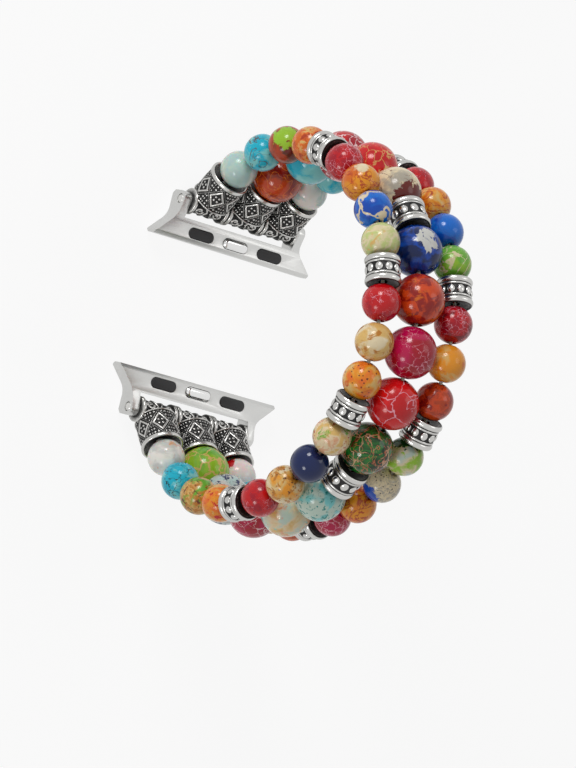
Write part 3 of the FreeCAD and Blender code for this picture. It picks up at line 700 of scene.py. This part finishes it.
def scroll_work(across):
    """Height, 0 to 1, on the cross tube: bold open scrolls, whose radius grows with the angle
    about their centres, face each other across a pointed leaf, four times round."""
    girth = 2 * math.pi * TUBE["radius"] / SCROLLS
    round_it = ((bail_turn / (2 * math.pi) * SCROLLS + 0.5) % 1 - 0.5) * girth
    out = np.abs(across)
    away = np.hypot(out - SCROLL_CENTRE, round_it)
    curl = np.arctan2(round_it, out - SCROLL_CENTRE)
    scroll = ridge(away, SCROLL_RADIUS + SCROLL_OPENING * curl, 0.00021) ** 0.6
    core = ridge(away, 0.0, 0.00024)
    leaf = ridge(out, 0.00034 + 0.55 * np.abs(round_it), 0.00020) ** 0.6 * (out < LEAF_END)
    return np.maximum(np.maximum(scroll, core), leaf)


def carved(before, stations, carving, ground, relief, after):
    """A turned form and its shine. A carved field, whose radius is the ground plus the carving
    times its relief, lies between two plain profiles of radius, height and shine."""
    first, last = (np.repeat(profile[None], BAIL_AROUND, axis=0) for profile in (before, after))
    radii = np.concatenate([first[..., 0], ground + carving * relief, last[..., 0]], axis=1)
    heights = np.concatenate([before[:, 1], stations, after[:, 1]])
    shine = np.concatenate([first[..., 2], carving, last[..., 2]], axis=1)
    return turned(radii, heights), shine


def bail_barrel():
    """Along the cord: a shoulder out of the cross tube, the net, the rim, the dish, and the
    pocket that hides the knot."""
    radius, reach = BAIL["radius"], BAIL["reach"]
    edge = radius + BAIL["ring"]
    low = BAIL["root"] + BAIL["foot_ring"]
    high = reach - BAIL["mouth_ring"]
    seat = reach - BAIL["seat"]
    floor = seat - BAIL["pocket_depth"]
    ground = radius - BAIL["relief"] * 0.6
    shoulder = np.array([
        (0.0007, 0.0011, 0.2), (0.0019, 0.00125, 0.3), (0.0028, 0.00132, 0.4),
        (radius + 0.0001, 0.00150, 0.6), (edge + 0.00003, 0.00162, 1.0),
        (edge + 0.00003, low - 0.00006, 1.0), (ground, low, 0.2)])
    rim = np.array([
        (ground, high, 0.3), (radius + BAIL["ring"] * 0.7, high + 0.00004, 0.8),
        (edge, high + 0.00014, 1.0), (edge, reach - 0.00012, 1.0), (edge - 0.0001, reach, 1.0),
        (edge - BAIL["lip"], reach - 0.00003, 0.8), (radius - 0.0003, reach - 0.00025, 0.6),
        (0.0023, reach - 0.00062, 0.55), (BAIL["seat_radius"], seat, 0.5),
        (BAIL["pocket"], seat - 0.0001, 0.3), (BAIL["pocket"], floor, 0.2), (0.0003, floor, 0.1)])
    field = np.linspace(low, high, NET_STEPS)
    net = lozenge_net(field - (low + high) / 2)
    return carved(shoulder, field, net, ground, BAIL["relief"], rim)


def bail_tube():
    """Along the bar: a ring, the scrolls and the same ring turned round. The grid is turned
    about Z, then its axes are moved on by one, so that it lies along X."""
    half = TUBE["length"] / 2
    inner = half - TUBE["flange_width"]
    wide = TUBE["flange"]
    right = np.array([
        (wide - 0.00012, inner + 0.00003, 0.5), (wide, inner + 0.00012, 1.0),
        (wide, half - 0.0001, 1.0), (wide - 0.0001, half, 0.8), (TUBE["bore"], half, 0.4)])
    left = right[::-1] * (1, -1, 1)
    across = np.linspace(-inner, inner, TUBE_STEPS)
    tube, shine = carved(left, across, scroll_work(across), TUBE["radius"] - 0.0001,
                         TUBE["relief"], right)
    return np.roll(tube, 1, axis=-1), shine


barrel, barrel_shine = bail_barrel()
tube, tube_shine = bail_tube()
half_turn = Matrix.Rotation(math.pi, 4, "X")
for strand, side in ((-1, "near"), (0, "middle"), (1, "far")):
    for end, place in (("top", cord_place(strand, -BAIL_TO_STRAND)),
                       ("bottom", cord_place(strand, strand_length + BAIL_TO_STRAND) @ half_turn)):
        bail = surface(f"cast_bail_{end}_{side}", put(barrel, place), put(tube, place))
        give_relief(bail, np.concatenate([barrel_shine.ravel(), tube_shine.ravel()]))
        bail.data.materials.append(cast_metal)
        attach(bail, f"bails_{end}")
        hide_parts(f"bail_{end}_{side}")

# The adaptors. Each is machined from one block and satin finished along its length: a
# swallow-tail tongue with two rubber pads and a sprung latch in it, and two arms that hold the
# steel bar. These pieces keep their CAD shapes, with the edges broken as tumbling leaves them.


def tumbled(node, body, finish, rounding):
    """Copy of a CAD node with its flat faces merged and its edges rounded."""
    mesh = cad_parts[node].data.copy()
    mesh.materials.clear()
    mesh.materials.append(finish.material)
    work = bmesh.new()
    work.from_mesh(mesh)
    bmesh.ops.remove_doubles(work, verts=work.verts, dist=1e-7)
    bmesh.ops.dissolve_limit(work, angle_limit=math.radians(1), verts=work.verts, edges=work.edges)
    work.to_mesh(mesh)
    work.free()
    mesh.shade_smooth()
    made = bpy.data.objects.new(f"{node}_finished", mesh)
    bpy.context.scene.collection.objects.link(made)
    bevel = made.modifiers.new("edges", "BEVEL")
    bevel.width = rounding
    bevel.segments = 3
    bevel.limit_method = "ANGLE"
    bevel.angle_limit = math.radians(28)
    bevel.harden_normals = True
    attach(made, body)
    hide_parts(node)
    return made


def lined_metal(name, colour, roughness, lines, depth):
    """Metal with fine lines along X, as a belt leaves them, and a slow change of sheen."""
    finish = Finish(name, Metallic=1.0)
    spot = finish.node("ShaderNodeTexCoord", output="Object")
    drawn = finish.node("ShaderNodeMapping", None, {"Vector": spot, "Scale": (60, lines, lines)})
    grain = finish.noise(drawn, 1.0, 4, 0.6)
    sheen = finish.noise(spot, 260, 2)
    dull = tuple(channel * 0.86 for channel in colour[:3]) + (1,)
    finish.feed(Base_Color=finish.mix(grain * 0.5 + sheen * 0.5, dull, colour),
                Roughness=roughness + (grain - 0.5) * 0.16 + (sheen - 0.5) * 0.08,
                Normal=finish.bump(grain, depth))
    return finish


satin_metal = lined_metal("satin_alloy", tone(206, 206, 204), 0.33, 3800, 0.000012)
bar_metal = lined_metal("bar_steel", tone(214, 213, 210), 0.24, 5200, 0.000004)
latch_metal = lined_metal("latch_steel", tone(228, 228, 227), 0.14, 5200, 0.000003)
spring_metal = lined_metal("spring_steel", tone(168, 166, 160), 0.30, 5200, 0.000004)
pad_rubber = Finish("pad_rubber", Metallic=0.0)
rubber_spot = pad_rubber.node("ShaderNodeTexCoord", output="Object")
rubber_grain = pad_rubber.noise(rubber_spot, 4200, 4)
pad_rubber.feed(Base_Color=pad_rubber.mix(rubber_grain, tone(18, 18, 19), tone(34, 34, 36)),
                Roughness=rubber_grain * 0.25 + 0.45,
                Normal=pad_rubber.bump(rubber_grain, 0.00002))

for end in ("top", "bottom"):
    tumbled(f"adaptor_{end}", f"adaptor_{end}", satin_metal, 0.00014)
    tumbled(f"cross_bar_{end}", f"adaptor_{end}", bar_metal, 0.00004)
    tumbled(f"rubber_pads_{end}", f"adaptor_{end}", pad_rubber, 0.00012)
    tumbled(f"latch_{end}", f"latch_{end}", latch_metal, 0.00008)
    spring = tumbled(f"latch_spring_{end}", f"adaptor_{end}", spring_metal, 0.00002)
    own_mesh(spring)

# The elastic cords. Pale stretch cord as thick as a pencil lead runs through every bore and
# is tied off in a bail at each end. It shows as a short pale line where two pieces part, so
# it is made as one length from the middle of each row to the middle of the next.

CORD_RADIUS = 0.0003
KNOT_RADIUS = 0.00095
CORD_AROUND = 12
CORD_STEPS = 14
KNOT_DEPTH = 0.0011
KNOTS_AT = (-KNOT_DEPTH, strand_length + KNOT_DEPTH)
LEADING_HINGE = 10
cord_finish = Finish("stretch_cord", Roughness=0.3, Subsurface_Weight=0.3,
                     Subsurface_Scale=0.0006, Coat_Weight=0.3)
cord_spot = cord_finish.node("ShaderNodeTexCoord", output="Object")
cord_finish.feed(
    Base_Color=cord_finish.mix(cord_finish.noise(cord_spot, 900), tone(214, 208, 190),
                               tone(238, 234, 222)))


def cord_grid(strand, start, end):
    """A thin ring tube along the worn line: out over the skin and back along the axis."""
    stations = np.linspace(start, end, CORD_STEPS)
    turn = np.linspace(0, 2 * math.pi, CORD_AROUND, endpoint=False)
    skin = np.stack([np.cos(turn), np.sin(turn), np.zeros(CORD_AROUND)], axis=-1) * CORD_RADIUS
    rings = [put(skin, cord_place(strand, station)) for station in stations]
    core = [put(skin * 0.05, cord_place(strand, station)) for station in stations[::-1]]
    return np.stack(rings + core, axis=1)


bodies = ["bails_top", *[f"row_{row:02d}" for row in MIDDLE_LINE["rows"]], "bails_bottom"]
middles = [KNOTS_AT[0], *middle_centres, KNOTS_AT[1]]
hinges = zip(bodies, bodies[1:], middles, middles[1:])
for number, (body_before, body_after, start, end) in enumerate(hinges, start=1):
    lengths = surface(f"cord_lengths_{number:02d}",
                      *[cord_grid(strand, start, end) for strand in (-1, 0, 1)])
    lengths.data.materials.append(cord_finish.material)
    cord_place(0, start).translation
    cord_place(0, end).translation
    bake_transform(lengths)
    # The three whole CAD cords are hidden at the leading hinge. The lengths at the
    # leading hinge stand for the three whole cords.
    if number == LEADING_HINGE:
        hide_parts("cord_near", "cord_middle", "cord_far")


def knot_grid(place):
    """An overhand knot drawn tight, as a ball whose radius has three twisted swells."""
    turn = np.linspace(0, 2 * math.pi, 36, endpoint=False)[:, None]
    polar = np.linspace(0.03, math.pi - 0.03, 22)[None, :]
    swell = KNOT_RADIUS * (0.88 + 0.12 * np.sin(3 * turn + 5 * polar))
    ball = np.stack([swell * np.sin(polar) * np.cos(turn), swell * np.sin(polar) * np.sin(turn),
                     swell * np.cos(polar) + 0 * turn], axis=-1)
    return put(ball[:, ::-1], place)


for end, station in zip(("top", "bottom"), KNOTS_AT):
    knots = surface(f"cord_knots_{end}",
                    *[knot_grid(cord_place(strand, station)) for strand in (-1, 0, 1)])
    knots.data.materials.append(cord_finish.material)
    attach(knots, f"bails_{end}")

# Floor and light. A plain pale floor under a pale sky, and three round soft lamps set about
# the view: the key lamp above the band, a weaker one low on the left and a weak fill on the
# right. Rays that show the background itself find it nearly white.

FLOOR_SIZE = 1.6
FLOOR_GLOW = 0.89
SKY_LIGHT = 0.30
floor_mesh = bpy.data.meshes.new("floor")
corners = np.array([[-1, -1, 0], [1, -1, 0], [1, 1, 0], [-1, 1, 0]]) * FLOOR_SIZE / 2
floor_mesh.from_pydata(corners.tolist(), [], [[0, 1, 2, 3]])
floor = bpy.data.objects.new("floor", floor_mesh)
bpy.context.scene.collection.objects.link(floor)


def background_rays(nodes):
    """1 for rays that show the background itself: seen, mirrored or passed through."""
    seen, mirrored, passed = [nodes.node("ShaderNodeLightPath", output=f"Is {kind} Ray")
                              for kind in ("Camera", "Glossy", "Transmission")]
    return seen.most(mirrored).most(passed)


floor_finish = Finish("floor", Base_Color=tone(240, 240, 240), Roughness=0.9)
glow = floor_finish.node("ShaderNodeEmission", None, {"Color": (1, 1, 1, 1), "Strength": 1.0})
paper = Wire(floor_finish, floor_finish.shader.outputs[0])
shown = floor_finish.node("ShaderNodeMixShader", None,
                          {0: background_rays(floor_finish) * FLOOR_GLOW, 1: paper, 2: glow})
floor_output = floor_finish.tree.nodes["Material Output"]
floor_finish.tree.links.new(shown.socket, floor_output.inputs["Surface"])
floor_mesh.materials.append(floor_finish.material)

world = bpy.data.worlds.new("pale_sky")
bpy.context.scene.world = world
world.use_nodes = True
sky = Nodes(world.node_tree)
background = sky.tree.nodes["Background"]
background.inputs["Color"].default_value = (1, 1, 1, 1)
sky_strength = background_rays(sky) * (1 - SKY_LIGHT) + SKY_LIGHT
sky.tree.links.new(sky_strength.socket, background.inputs["Strength"])

LAMP_DISTANCE = 0.45
for name, direction, width, power in (("key", (-0.05, 0.80, 0.60), 0.16, 0.85),
                                      ("front", (-0.52, -0.46, 0.73), 0.13, 0.40),
                                      ("side", (0.85, 0.20, 0.35), 0.20, 0.16)):
    lamp_data = bpy.data.lights.new(name, "AREA")
    lamp_data.shape = "DISK"
    lamp_data.size = width
    lamp_data.energy = power
    lamp = bpy.data.objects.new(name, lamp_data)
    bpy.context.scene.collection.objects.link(lamp)
    outward = (VIEW_TURN @ Vector(direction)).normalized()
    lamp.location = VIEW_AIM + outward * LAMP_DISTANCE
    lamp.rotation_mode = "QUATERNION"
    lamp.rotation_quaternion = outward.to_track_quat("Z", "Y")
